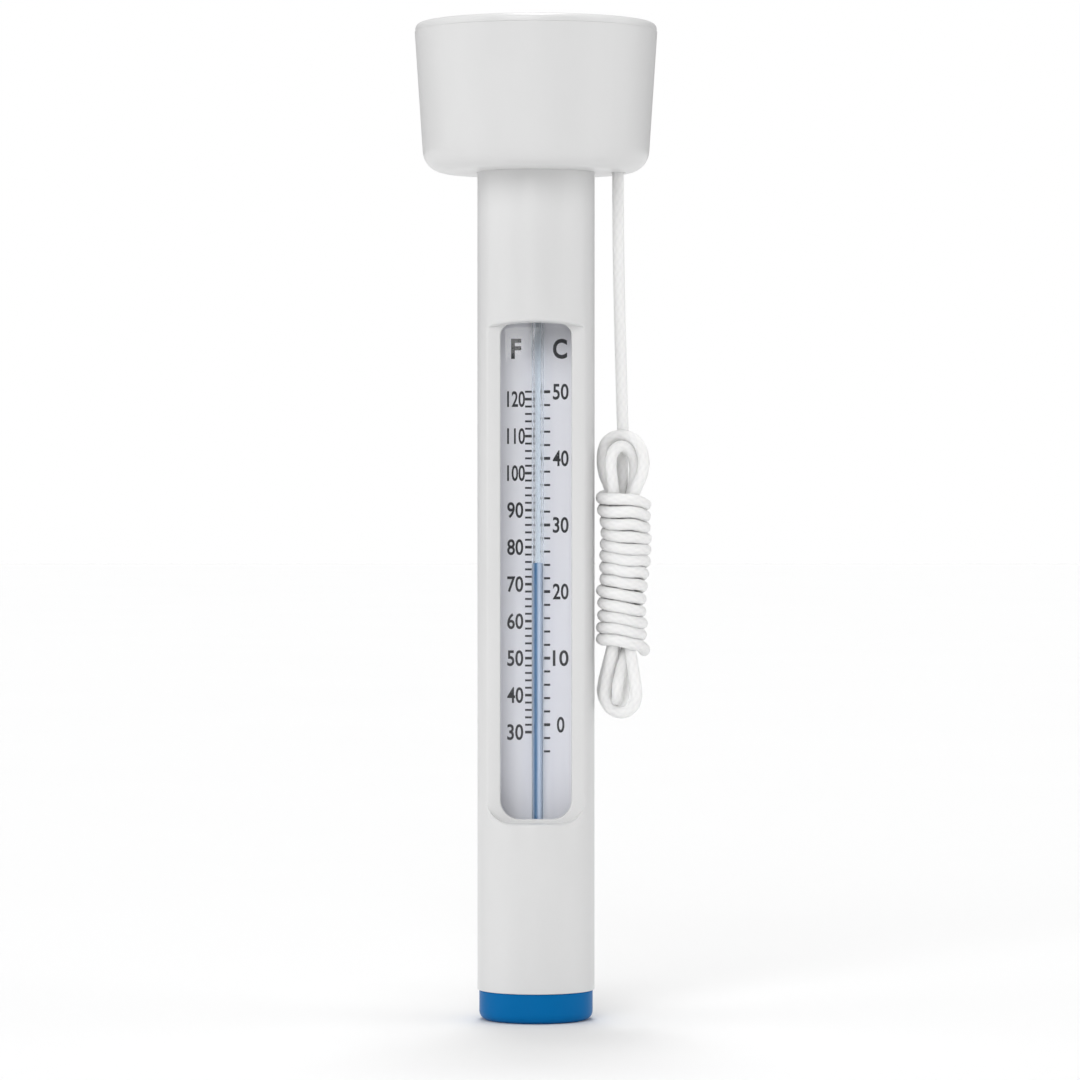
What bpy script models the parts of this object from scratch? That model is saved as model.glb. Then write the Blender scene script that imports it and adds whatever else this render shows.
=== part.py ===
"""Floating pool thermometer: a sealed white tube with a flat window, a blue bottom cap, a flared float
on top, a glass spirit thermometer and its card inside, and a tether cord folded and wrapped into a hank.

Axis of the tube on Z, front on -Y, base on Z = 0. Lengths in metres.
"""

import math

import bmesh
import bpy
from mathutils import Vector

MM = 0.001
GAP = 0.3 * MM  # clearance between neighbouring pieces

# Driving dimensions
TOTAL_HEIGHT = 170.0 * MM
TUBE_RADIUS = 10.0 * MM
TUBE_WALL = 1.6 * MM
TUBE_TOP = 158.0 * MM
CAP_RADIUS = 9.7 * MM
CAP_HEIGHT = 5.07 * MM
CAP_SPIGOT_TOP = 11.5 * MM
FLOAT_UNDERSIDE = 144.6 * MM
FLOAT_RIM_RADIUS = 20.7 * MM
FLOAT_FOOT_RADIUS = 19.1 * MM
FLOAT_WALL = 1.6 * MM
FLOAT_CORNER = 3.8 * MM
RIM_TOP = 168.3 * MM
FACET_Y = -5.74 * MM  # the flat that the window lies in
FLAT_WALL = 1.5 * MM
FACET_BOTTOM = 33.9 * MM
FACET_SHOULDER = 118.0 * MM  # where the facet's top edge meets its sides
FACET_RISE = 0.9 * MM  # how much higher that edge is in the middle
WINDOW_HALF_WIDTH = 6.03 * MM
WINDOW_BOTTOM = 34.5 * MM
WINDOW_TOP = 118.85 * MM
STEM_X = 0.3 * MM  # the stem stands between the two scales, a little to the right of the tube's axis
STEM_RADIUS = 1.05 * MM
STEM_BORE = 0.7 * MM
STEM_TOP = 126.3 * MM
BULB_RADIUS = 2.5 * MM
BULB_BOTTOM = 12.5 * MM
BULB_TOP = 21.8 * MM
BULB_SHOULDER = 1.8 * MM  # height of the cone from the bulb to the stem
BULB_WALL = 0.5 * MM
THREAD_RADIUS = 0.4 * MM
THREAD_FOOT = 33.3 * MM  # the moving thread starts here, out of sight below the window
READING_TOP = 78.0 * MM  # the thread's top at about 24 degrees Celsius
CARD_FRONT = 1.5 * MM
CARD_THICKNESS = 0.8 * MM
CORD_RADIUS = 1.0 * MM
CORD_X = 14.0 * MM  # where the cord leaves the float's underside
CORD_PIVOT = 143.6 * MM  # the tether swings about this height
CORD_NECK = 1.2 * MM  # the lead narrows over this height below the pivot

# Heights and radii that follow
BORE = TUBE_RADIUS - TUBE_WALL
FIT = BORE - GAP  # radius of what slides into the bore
TUBE_BOTTOM = CAP_HEIGHT + GAP
BALLAST_BOTTOM = CAP_SPIGOT_TOP + GAP
BALLAST_TOP = BALLAST_BOTTOM + 10.0 * MM
LOWER_BUNG_BOTTOM = BALLAST_TOP + GAP
LOWER_BUNG_TOP = LOWER_BUNG_BOTTOM + 6.0 * MM
CARD_BOTTOM = LOWER_BUNG_TOP + GAP
CARD_TOP = 124.2 * MM
UPPER_BUNG_BOTTOM = CARD_TOP + GAP
UPPER_BUNG_TOP = UPPER_BUNG_BOTTOM + 6.5 * MM
FLOAT_FLOOR = FLOAT_UNDERSIDE + FLOAT_WALL
COLLAR_BORE = TUBE_RADIUS + GAP
COLLAR_RADIUS = 11.5 * MM
COLLAR_TOP = 156.0 * MM

ROUND = 48  # segments of the large turned pieces
FINE = 24  # segments of the small ones

WHITE = (0.80, 0.80, 0.79, 1.0)
BLUE = (0.006, 0.13, 0.36, 1.0)


def collection(name):
    made = bpy.data.collections.new(name)
    bpy.context.scene.collection.children.link(made)
    return made


def material(name, colour, roughness, metallic=0.0, alpha=1.0):
    made = bpy.data.materials.new(name)
    made.use_nodes = True
    shader = made.node_tree.nodes["Principled BSDF"]
    shader.inputs["Base Color"].default_value = colour
    shader.inputs["Roughness"].default_value = roughness
    shader.inputs["Metallic"].default_value = metallic
    shader.inputs["Alpha"].default_value = alpha
    return made


def place(name, data, finish=None):
    """Adds the data as an object: a part if it has a finish, or else a hidden cutter."""
    made = bpy.data.objects.new(name, data)
    if finish is None:
        CUTTERS.objects.link(made)
        made.hide_render = True
        made.display_type = "WIRE"
    else:
        PARTS.objects.link(made)
        data.materials.append(finish)
    return made


def arc(centre_x, centre_z, radius, start_deg, end_deg, steps):
    """Points round a centre, from one angle to another, both ends included."""
    turns = [math.radians(start_deg + (end_deg - start_deg) * i / steps) for i in range(steps + 1)]
    return [(centre_x + radius * math.cos(t), centre_z + radius * math.sin(t)) for t in turns]


def turned(name, profile, finish=None, segments=ROUND, closed=False, at=(0.0, 0.0, 0.0)):
    """Revolves (radius, height) points, which run down the outer side, about the vertical axis."""
    mesh = bpy.data.meshes.new(name)
    last = len(profile) if closed else len(profile) - 1
    edges = [(i, (i + 1) % len(profile)) for i in range(last)]
    mesh.from_pydata([(x, 0.0, z) for x, z in profile], edges, [])
    made = place(name, mesh, finish)
    made.location = at
    screw = made.modifiers.new("Turn", "SCREW")
    screw.angle = 2.0 * math.pi
    screw.steps = screw.render_steps = segments
    screw.use_merge_vertices = True
    screw.merge_threshold = 0.00001
    screw.use_smooth_shade = True
    return made


def cylinder(name, radius, bottom, top, finish=None, segments=FINE, at=(0.0, 0.0)):
    shape = bmesh.new()
    bmesh.ops.create_cone(
        shape, cap_ends=True, segments=segments, radius1=radius, radius2=radius, depth=top - bottom
    )
    mesh = bpy.data.meshes.new(name)
    shape.to_mesh(mesh)
    shape.free()
    made = place(name, mesh, finish)
    made.location = (at[0], at[1], (bottom + top) / 2.0)
    return made


def block(name, low, high, finish=None):
    shape = bmesh.new()
    bmesh.ops.create_cube(shape, size=1.0)
    size = Vector(high) - Vector(low)
    bmesh.ops.scale(shape, vec=size, verts=shape.verts)
    mesh = bpy.data.meshes.new(name)
    shape.to_mesh(mesh)
    shape.free()
    made = place(name, mesh, finish)
    made.location = (Vector(low) + Vector(high)) / 2.0
    return made


def plate(name, outline, front, back, finish=None):
    """A flat outline of (x, z) points, as thick as from front to back along Y."""
    curve = bpy.data.curves.new(name, "CURVE")
    curve.dimensions = "2D"
    curve.fill_mode = "BOTH"
    curve.extrude = (back - front) / 2.0
    spline = curve.splines.new("POLY")
    spline.points.add(len(outline) - 1)
    for point, (x, z) in zip(spline.points, outline):
        point.co = (x, z, 0.0, 1.0)
    spline.use_cyclic_u = True
    made = place(name, as_mesh(curve), finish)
    made.location = (0.0, (front + back) / 2.0, 0.0)
    made.rotation_euler = (math.pi / 2.0, 0.0, 0.0)
    return made


def as_mesh(curve):
    """The curve's surface as a welded mesh with its faces outward."""
    holder = bpy.data.objects.new("holder", curve)
    mesh = bpy.data.meshes.new_from_object(holder)
    bpy.data.objects.remove(holder)
    shape = bmesh.new()
    shape.from_mesh(mesh)
    bmesh.ops.remove_doubles(shape, verts=shape.verts, dist=0.000001)
    bmesh.ops.recalc_face_normals(shape, faces=shape.faces)
    shape.to_mesh(mesh)
    shape.free()
    return mesh


def combine(target, tool, operation="DIFFERENCE"):
    """A Boolean with a cutter or a hidden helper shape."""
    change = target.modifiers.new(operation.title(), "BOOLEAN")
    change.operation = operation
    change.solver = "EXACT"
    change.object = tool


def bottom_cap(finish):
    """Plug with a rounded foot and a spigot for the tube. Three ports let the water in to the bulb."""
    fillet, floor, wall = 1.5 * MM, 2.0 * MM, 1.4 * MM
    made = turned(
        "bottom_cap",
        [(0.0, floor), (FIT - wall, floor), (FIT - wall, CAP_SPIGOT_TOP)]
        + [(FIT - 0.4 * MM, CAP_SPIGOT_TOP), (FIT, CAP_SPIGOT_TOP - 0.6 * MM), (FIT, CAP_HEIGHT)]
        + [(CAP_RADIUS - 0.3 * MM, CAP_HEIGHT), (CAP_RADIUS, CAP_HEIGHT - 0.3 * MM)]
        + arc(CAP_RADIUS - fillet, fillet, fillet, 0.0, -90.0, 5)
        + [(0.0, 0.0)],
        finish,
    )
    for i in range(3):
        angle = math.radians(90.0 + 120.0 * i)
        port_at = (4.6 * MM * math.cos(angle), 4.6 * MM * math.sin(angle))
        port = cylinder(f"water_port_{i + 1}", 1.6 * MM, -1.0 * MM, 3.0 * MM, segments=16, at=port_at)
        combine(made, port)
    return made


def window_outline(inset):
    """The window opening, shrunk by inset: small round corners above, larger ones below."""
    half, top, bottom = WINDOW_HALF_WIDTH - inset, WINDOW_TOP - inset, WINDOW_BOTTOM + inset
    small, large, crown = 2.0 * MM - inset, 3.3 * MM - inset, 0.45 * MM
    return (
        arc(half - large, bottom + large, large, -90.0, 0.0, 5)
        + arc(half - small, top - crown - small, small, 0.0, 75.0, 4)
        + [(half / 3.0, top), (-half / 3.0, top)]
        + arc(small - half, top - crown - small, small, 105.0, 180.0, 4)
        + arc(large - half, bottom + large, large, 180.0, 270.0, 5)
    )


def facet_outline():
    """The flat's outline: it runs out at the sides, rises in the middle above, has round corners below."""
    half, corner = 8.4 * MM, 4.2 * MM
    radius = (half**2 + FACET_RISE**2) / (2.0 * FACET_RISE)
    sweep = math.degrees(math.asin(half / radius))
    return (
        arc(half - corner, FACET_BOTTOM + corner, corner, -90.0, 0.0, 6)
        + arc(0.0, FACET_SHOULDER + FACET_RISE - radius, radius, 90.0 - sweep, 90.0 + sweep, 10)
        + arc(corner - half, FACET_BOTTOM + corner, corner, 180.0, 270.0, 6)
    )


def main_tube(finish):
    """Round tube. Along the window it has a flat wall in front, inside and outside."""
    low, high = FACET_BOTTOM - FLAT_WALL, WINDOW_TOP + FLAT_WALL
    bore = cylinder("tube_bore", BORE, TUBE_BOTTOM - MM, TUBE_TOP + MM, segments=ROUND)
    inner_flat = FACET_Y + FLAT_WALL
    kept = block("kept_for_flat", (-BORE, -BORE - MM, low), (BORE, inner_flat, high))
    combine(bore, kept)
    made = turned(
        "main_tube",
        [(0.0, TUBE_TOP), (TUBE_RADIUS - 0.3 * MM, TUBE_TOP), (TUBE_RADIUS, TUBE_TOP - 0.3 * MM)]
        + [(TUBE_RADIUS, TUBE_BOTTOM + 0.3 * MM), (TUBE_RADIUS - 0.3 * MM, TUBE_BOTTOM)]
        + [(0.0, TUBE_BOTTOM)],
        finish,
    )
    combine(made, bore)
    combine(made, plate("facet", facet_outline(), -TUBE_RADIUS - MM, FACET_Y))
    combine(made, plate("window_opening", window_outline(0.0), -TUBE_RADIUS - 2.0 * MM, inner_flat + MM))
    return made


def ballast_ring(finish):
    """Steel ring at the foot; the bulb stands in its hole."""
    hole, chamfer = 3.5 * MM, 0.6 * MM
    return turned(
        "ballast_ring",
        [(hole, BALLAST_TOP), (FIT - chamfer, BALLAST_TOP), (FIT, BALLAST_TOP - chamfer)]
        + [(FIT, BALLAST_BOTTOM + chamfer), (FIT - chamfer, BALLAST_BOTTOM), (hole, BALLAST_BOTTOM)],
        finish,
        closed=True,
    )


def stem_hole(name, bottom, top):
    """A hidden cutter that leaves room for the stem."""
    return cylinder(name, STEM_RADIUS + GAP, bottom, top, at=(STEM_X, 0.0))


def lower_bung(finish):
    """Soft plug that seals the tube round the stem's neck, with a groove round its middle."""
    groove, middle = 0.7 * MM, (LOWER_BUNG_BOTTOM + LOWER_BUNG_TOP) / 2.0
    made = turned(
        "lower_bung",
        [(0.0, LOWER_BUNG_TOP), (FIT, LOWER_BUNG_TOP), (FIT, middle + 0.8 * MM)]
        + [(FIT - groove, middle + 0.4 * MM), (FIT - groove, middle - 0.4 * MM), (FIT, middle - 0.8 * MM)]
        + [(FIT, LOWER_BUNG_BOTTOM), (0.0, LOWER_BUNG_BOTTOM)],
        finish,
    )
    combine(made, stem_hole("lower_bung_hole", LOWER_BUNG_BOTTOM - MM, LOWER_BUNG_TOP + MM))
    return made


def upper_bung(finish):
    """Soft plug with a blind hole for the stem's head."""
    made = turned(
        "upper_bung",
        [(0.0, UPPER_BUNG_TOP), (FIT - 0.6 * MM, UPPER_BUNG_TOP), (FIT, UPPER_BUNG_TOP - 0.6 * MM)]
        + [(FIT, UPPER_BUNG_BOTTOM), (0.0, UPPER_BUNG_BOTTOM)],
        finish,
    )
    combine(made, stem_hole("upper_bung_hole", UPPER_BUNG_BOTTOM - MM, STEM_TOP + GAP))
    return made


def scale_card(finish):
    """Card behind the stem, with cut top corners."""
    half, cut = 7.7 * MM, 1.2 * MM
    return plate(
        "scale_card",
        [(-half, CARD_BOTTOM), (half, CARD_BOTTOM), (half, CARD_TOP - cut), (half - cut, CARD_TOP)]
        + [(cut - half, CARD_TOP), (-half, CARD_TOP - cut)],
        CARD_FRONT,
        CARD_FRONT + CARD_THICKNESS,
        finish,
    )


def glass_stem(finish):
    """Glass capillary blown into a bulb at its foot. Its head stays open here."""
    inner = BULB_RADIUS - BULB_WALL
    low, high = BULB_BOTTOM + BULB_RADIUS, BULB_TOP - BULB_SHOULDER
    return turned(
        "glass_stem",
        arc(0.0, low, inner, -90.0, 0.0, 5)
        + [(inner, high), (STEM_BORE, BULB_TOP), (STEM_BORE, STEM_TOP)]
        + [(STEM_RADIUS - 0.15 * MM, STEM_TOP), (STEM_RADIUS, STEM_TOP - 0.15 * MM)]
        + [(STEM_RADIUS, BULB_TOP), (BULB_RADIUS, high)]
        + arc(0.0, low, BULB_RADIUS, 0.0, -90.0, 5),
        finish,
        FINE,
        at=(STEM_X, 0.0, 0.0),
    )


def bulb_spirit(finish):
    """The spirit that fills the bulb and the foot of the bore."""
    radius = BULB_RADIUS - BULB_WALL - GAP
    low, high = BULB_BOTTOM + BULB_RADIUS, BULB_TOP - BULB_SHOULDER - GAP
    return turned(
        "bulb_spirit",
        [(0.0, THREAD_FOOT - GAP), (THREAD_RADIUS, THREAD_FOOT - GAP), (THREAD_RADIUS, BULB_TOP - GAP)]
        + [(radius, high)]
        + arc(0.0, low, radius, 0.0, -90.0, 5),
        finish,
        16,
        at=(STEM_X, 0.0, 0.0),
    )


def spirit_column(finish):
    """The visible thread of spirit, with a domed top."""
    return turned(
        "spirit_column",
        [(0.0, READING_TOP), (0.7 * THREAD_RADIUS, READING_TOP - 0.3 * THREAD_RADIUS)]
        + [(THREAD_RADIUS, READING_TOP - THREAD_RADIUS), (THREAD_RADIUS, THREAD_FOOT), (0.0, THREAD_FOOT)],
        finish,
        16,
        at=(STEM_X, 0.0, 0.0),
    )


def stem_clip(name, bottom, finish):
    """Small saddle on the card that goes round the stem."""
    height, outer = 2.4 * MM, STEM_RADIUS + GAP + 0.6 * MM
    made = cylinder(name, outer, bottom, bottom + height, finish, at=(STEM_X, 0.0))
    face = CARD_FRONT - GAP
    foot = block(f"{name}_foot", (-3.6 * MM, 0.5 * MM, bottom), (3.6 * MM, face, bottom + height))
    combine(made, foot, "UNION")
    behind = block(f"{name}_back", (-5.0 * MM, face, bottom - MM), (5.0 * MM, 4.0 * MM, bottom + 4.0 * MM))
    combine(made, behind)
    combine(made, stem_hole(f"{name}_hole", bottom - MM, bottom + height + MM))
    return made


def window_lens(finish):
    """Clear pane: a plate behind the flat wall, with a land that stands in the opening."""
    inner_flat = FACET_Y + FLAT_WALL
    front, back, half = inner_flat + GAP, inner_flat + GAP + 1.1 * MM, 6.9 * MM
    low, high = FACET_BOTTOM - 0.8 * MM, WINDOW_TOP + 1.0 * MM
    made = plate("window_lens", [(-half, low), (half, low), (half, high), (-half, high)], front, back, finish)
    land = plate("lens_land", window_outline(GAP), FACET_Y + 0.35 * MM, front + 0.4 * MM)
    combine(made, land, "UNION")
    return made


def tube_plug(finish):
    """Closes the tube's top end."""
    flange, spigot, top = TUBE_TOP + GAP, TUBE_TOP - 8.0 * MM, TUBE_TOP + GAP + 1.6 * MM
    return turned(
        "tube_plug",
        [(0.0, top), (9.4 * MM, top), (9.7 * MM, top - 0.3 * MM), (9.7 * MM, flange), (FIT, flange)]
        + [(FIT, spigot + 0.6 * MM), (FIT - 0.4 * MM, spigot), (FIT - 1.4 * MM, spigot)]
        + [(FIT - 1.4 * MM, flange), (0.0, flange)],
        finish,
    )


def float_cup(finish):
    """Flared cup with a collar for the tube and a hole for the cord."""
    lean = (FLOAT_RIM_RADIUS - FLOAT_FOOT_RADIUS) / (RIM_TOP - FLOAT_UNDERSIDE - FLOAT_CORNER)
    inner_corner, collar_root = FLOAT_CORNER - FLOAT_WALL, 0.4 * MM
    corner_z = FLOAT_UNDERSIDE + FLOAT_CORNER
    tilt = math.degrees(math.atan(lean))
    made = turned(
        "float_cup",
        [(FLOAT_RIM_RADIUS - FLOAT_WALL, RIM_TOP), (FLOAT_RIM_RADIUS, RIM_TOP)]
        + arc(FLOAT_FOOT_RADIUS - FLOAT_CORNER, corner_z, FLOAT_CORNER, -tilt, -90.0, 7)
        + [(COLLAR_BORE, FLOAT_UNDERSIDE), (COLLAR_BORE, COLLAR_TOP), (COLLAR_RADIUS, COLLAR_TOP)]
        + [(COLLAR_RADIUS, FLOAT_FLOOR + collar_root), (COLLAR_RADIUS + collar_root, FLOAT_FLOOR)]
        + arc(FLOAT_FOOT_RADIUS - FLOAT_CORNER, corner_z, inner_corner, -90.0, -tilt, 5),
        finish,
        closed=True,
    )
    hole = cylinder("cord_hole", CORD_RADIUS + GAP, FLOAT_UNDERSIDE - MM, FLOAT_FLOOR + MM, at=(CORD_X, 0.0))
    combine(made, hole)
    return made


def float_lid(finish):
    """Flat lid with a rounded edge and a spigot ring inside the cup's rim."""
    edge, seat, fillet = 20.6 * MM, RIM_TOP + GAP, 1.0 * MM
    spigot, wall, foot = FLOAT_RIM_RADIUS - FLOAT_WALL - 0.35 * MM, 1.4 * MM, RIM_TOP - 2.8 * MM
    return turned(
        "float_lid",
        [(0.0, TOTAL_HEIGHT)]
        + arc(edge - fillet, TOTAL_HEIGHT - fillet, fillet, 90.0, 0.0, 5)
        + [(edge, seat), (spigot, seat), (spigot, foot + 0.5 * MM), (spigot - 0.3 * MM, foot)]
        + [(spigot - wall, foot), (spigot - wall, seat), (0.0, seat)],
        finish,
    )


def float_foam(finish):
    """Closed-cell foam ring that fills the cup round the collar, with a pocket for the cord's knot."""
    inner, bottom, top = COLLAR_RADIUS + 0.6 * MM, FLOAT_FLOOR + GAP, RIM_TOP - 3.2 * MM
    made = turned(
        "float_foam",
        [(inner, top), (18.4 * MM, top), (17.2 * MM, 150.4 * MM), (15.4 * MM, bottom), (inner, bottom)],
        finish,
        closed=True,
    )
    combine(made, cylinder("knot_pocket", 3.1 * MM, bottom - MM, bottom + 6.4 * MM, at=(CORD_X, 0.0)))
    return made


def cord_knot(finish):
    """Stopper knot above the float's floor, with the cord's neck down through the hole."""
    knot, middle, half_height = 2.2 * MM, FLOAT_FLOOR + GAP + 2.4 * MM, 2.4 * MM
    slopes = [math.radians(a) for a in range(90, -76, -15)]
    belly = [(knot * math.cos(a), middle + half_height * math.sin(a)) for a in slopes]
    low = CORD_PIVOT + 0.65 * MM
    return turned(
        "cord_knot",
        [(0.0, belly[0][1])]
        + belly[1:-1]
        + [(CORD_RADIUS, middle - 0.9 * half_height), (CORD_RADIUS, low), (0.0, low)],
        finish,
        16,
        at=(CORD_X, 0.0, 0.0),
    )


# The lead hangs from the pivot to the head of the hank.
LEAD_ROUTE = [
    (14.00, 0.00, 143.6),
    (14.02, 0.04, 139.0),
    (14.10, 0.20, 131.0),
    (14.32, 0.70, 120.0),
    (14.62, 1.35, 109.0),
    (14.85, 1.80, 101.2),
]


def smooth_route(points, spacing):
    """Points at about that spacing on the smooth curve through the given ones, in metres."""
    knots = [Vector(p) * MM for p in points]
    padded = [2.0 * knots[0] - knots[1], *knots, 2.0 * knots[-1] - knots[-2]]
    route = []
    for a, b, c, d in zip(padded, padded[1:], padded[2:], padded[3:]):
        steps = max(1, round((c - b).length / spacing))
        for i in range(steps):
            t = i / steps
            route.append(0.5 * (2.0 * b + (c - a) * t + (2.0 * a - 5.0 * b + 4.0 * c - d) * t**2
                                + (3.0 * b - 3.0 * c + d - a) * t**3))
    return [*route, knots[-1]]


def cord_lead(finish, pivot):
    """The cord from the float to the hank. Its head narrows so that it can turn about the pivot."""
    curve = bpy.data.curves.new("cord_lead", "CURVE")
    curve.dimensions = "3D"
    curve.bevel_depth = CORD_RADIUS
    curve.bevel_resolution = 2
    curve.use_fill_caps = True
    route = smooth_route(LEAD_ROUTE, 2.5 * 2.0 * CORD_RADIUS)
    neck = route[0] - Vector((0.0, 0.0, CORD_NECK))
    spline = curve.splines.new("POLY")
    places = [route[0], neck, *route[1:]]
    spline.points.add(len(places) - 1)
    for point, where in zip(spline.points, places):
        point.co = (*(where - pivot.location), 1.0)
    spline.points[0].radius = 0.3
    made = place("cord_lead", curve, finish)
    made.parent = pivot
    return made


# The hank, top to bottom: half width against height, about an axis that leans a little. It is deeper
# than it is wide, because the folds lie three deep and two across.
HANK_TOP = Vector((15.30, 0.0, 100.7)) * MM
HANK_FOOT = Vector((14.90, 0.0, 51.5)) * MM
HANK_DEPTH = 1.12
HANK_PROFILE = [
    (0.0, 49.2),
    (1.7, 49.0),
    (3.3, 47.8),
    (4.2, 45.6),
    (4.4, 43.2),
    (3.9, 40.6),
    (4.85, 39.9),
    (4.85, 24.0),
    (4.45, 11.0),
    (3.7, 10.2),
    (3.7, 3.8),
    (2.9, 1.6),
    (1.4, 0.2),
    (0.0, 0.0),
]


def cord_hank(finish, pivot):
    """The outer shape of the folded and wrapped cord: loops above and below, wraps between."""
    made = turned("cord_hank", [(r * MM, z * MM) for r, z in HANK_PROFILE], finish, FINE)
    axis = HANK_TOP - HANK_FOOT
    made.scale.y = HANK_DEPTH
    made.rotation_euler = (0.0, math.atan2(axis.x, axis.z), 0.0)
    made.parent = pivot
    made.location = HANK_FOOT - pivot.location
    return made


def clear_scene():
    for old in list(bpy.data.objects):
        bpy.data.objects.remove(old)
    for old in list(bpy.data.collections):
        bpy.data.collections.remove(old)


clear_scene()
PARTS = collection("pool_thermometer")
CUTTERS = collection("cutters")

white_plastic = material("white_plastic", WHITE, 0.32)
blue_plastic = material("blue_plastic", BLUE, 0.35)
clear_acrylic = material("clear_acrylic", (0.95, 0.97, 0.98, 1.0), 0.05, alpha=0.3)
clear_glass = material("clear_glass", (0.93, 0.96, 0.96, 1.0), 0.03, alpha=0.35)
printed_card = material("printed_card", (0.78, 0.79, 0.82, 1.0), 0.6)
blue_spirit = material("blue_spirit", (0.03, 0.16, 0.42, 1.0), 0.15)
grey_rubber = material("grey_rubber", (0.33, 0.34, 0.35, 1.0), 0.7)
ballast_steel = material("ballast_steel", (0.55, 0.56, 0.57, 1.0), 0.35, 1.0)
natural_nylon = material("natural_nylon", (0.86, 0.85, 0.80, 1.0), 0.45)
white_foam = material("white_foam", (0.90, 0.90, 0.88, 1.0), 0.9)
white_cord = material("white_cord", (0.82, 0.82, 0.81, 1.0), 0.75)

bottom_cap(blue_plastic)
main_tube(white_plastic)
ballast_ring(ballast_steel)
lower_bung(grey_rubber)
scale_card(printed_card)
glass_stem(clear_glass)
bulb_spirit(blue_spirit)
spirit_column(blue_spirit)
stem_clip("stem_clip_lower", 30.2 * MM, natural_nylon)
stem_clip("stem_clip_upper", 120.8 * MM, natural_nylon)
upper_bung(grey_rubber)
window_lens(clear_acrylic)
tube_plug(white_plastic)
float_cup(white_plastic)
float_lid(white_plastic)
float_foam(white_foam)
cord_knot(white_cord)

cord_pivot = bpy.data.objects.new("cord_pivot", None)
PARTS.objects.link(cord_pivot)
cord_pivot.location = (CORD_X, 0.0, CORD_PIVOT)
cord_lead(white_cord, cord_pivot)
cord_hank(white_cord, cord_pivot)
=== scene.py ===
"""The looks of a floating pool thermometer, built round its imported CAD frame.

The outer pieces are remade as fine meshes at the CAD's sizes: the tube with its flat and window, the cap,
the float, the glass and the printed card. The tether is one real length of braided cord, folded and wrapped
into a hank. Metres, front on -Y, base on Z = 0.
"""

import math

import bmesh
import bpy
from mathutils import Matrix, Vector, noise


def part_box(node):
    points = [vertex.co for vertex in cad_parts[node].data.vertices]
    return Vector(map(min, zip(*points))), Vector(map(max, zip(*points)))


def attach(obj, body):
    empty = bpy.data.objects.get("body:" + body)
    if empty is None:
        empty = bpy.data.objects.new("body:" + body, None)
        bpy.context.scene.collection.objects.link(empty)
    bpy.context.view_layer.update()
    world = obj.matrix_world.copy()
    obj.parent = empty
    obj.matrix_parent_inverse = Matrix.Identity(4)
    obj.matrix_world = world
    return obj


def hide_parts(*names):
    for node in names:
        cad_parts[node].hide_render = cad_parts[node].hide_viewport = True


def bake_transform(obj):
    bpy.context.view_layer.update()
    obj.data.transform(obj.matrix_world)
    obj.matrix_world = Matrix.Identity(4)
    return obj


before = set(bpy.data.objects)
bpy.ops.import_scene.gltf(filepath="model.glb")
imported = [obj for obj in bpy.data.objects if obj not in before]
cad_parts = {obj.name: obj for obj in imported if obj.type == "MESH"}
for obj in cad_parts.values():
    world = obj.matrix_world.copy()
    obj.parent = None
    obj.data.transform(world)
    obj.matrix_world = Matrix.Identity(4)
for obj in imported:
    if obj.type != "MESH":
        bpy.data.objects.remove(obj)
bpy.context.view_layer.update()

MM = 0.001

# Sizes that the CAD's own boxes give
TUBE_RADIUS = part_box("main_tube")[1].x
TUBE_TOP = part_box("main_tube")[1].z
CAP_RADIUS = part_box("bottom_cap")[1].x
CAP_SPIGOT_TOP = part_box("bottom_cap")[1].z
FLOAT_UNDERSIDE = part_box("float_cup")[0].z
RIM_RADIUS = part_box("float_cup")[1].x
LID_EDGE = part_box("float_lid")[1].x
LID_FOOT, LID_TOP = (corner.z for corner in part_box("float_lid"))
CARD_LOW, CARD_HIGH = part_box("scale_card")
LENS_LOW, LENS_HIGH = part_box("window_lens")
STEM_X = sum(corner.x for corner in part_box("glass_stem")) / 2.0
BULB_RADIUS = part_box("glass_stem")[1].x - STEM_X
BULB_FOOT, STEM_TOP = (corner.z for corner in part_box("glass_stem"))
READING_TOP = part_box("spirit_column")[1].z

# Sizes repeated from the CAD source
BORE = 8.4 * MM
FIT = 8.1  # radius of what slides into the bore, in mm
FLAT_FRONT = 5.74 * MM  # the outer flat is this far in front of the axis
FLAT_BACK = 4.24 * MM
FLAT_HALF = 8.4 * MM
FLAT_BOTTOM = 33.9 * MM
FLAT_CORNER = 4.2 * MM
FLAT_SHOULDER = 118.0 * MM
FLAT_RISE = 0.9 * MM
ARCH = (FLAT_HALF**2 + FLAT_RISE**2) / (2.0 * FLAT_RISE)  # radius of the arched top of flat and window
WINDOW_HALF = 6.03 * MM
WINDOW_BOTTOM = 34.5 * MM
WINDOW_TOP = 118.85 * MM
CAP_HEIGHT = 5.07 * MM
FOOT_RADIUS = 19.1 * MM  # the float's side would meet its underside here
FLOAT_CORNER = 3.8 * MM
FLOAT_WALL = 1.6 * MM
STEM_RADIUS = 1.05 * MM
BULB_TOP = 21.8 * MM
BULB_WALL = 0.5  # in mm
BULB_SHOULDER = 1.8  # height of the cone from the bulb to the stem, in mm
THREAD = 0.62  # radius of the spirit thread, in mm; the glass closes round it
FILM = 0.02  # the spirit stands this far into the thread's glass and clear of the bulb's, in mm
CORD_RADIUS = 1.0 * MM
CORD_X = 14.0 * MM

ROUND = 128  # segments round the large turned pieces
FINE = 48  # segments round the small ones
SHARP_DEG = 35.0  # a steeper edge than this is shaded as a crease
WELD = 0.002 * MM  # points closer than this are one
SLIVER = 0.004 * MM  # and closer than this, after a Boolean or in a font's outline

# ---------------------------------------------------------------- meshes


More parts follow.
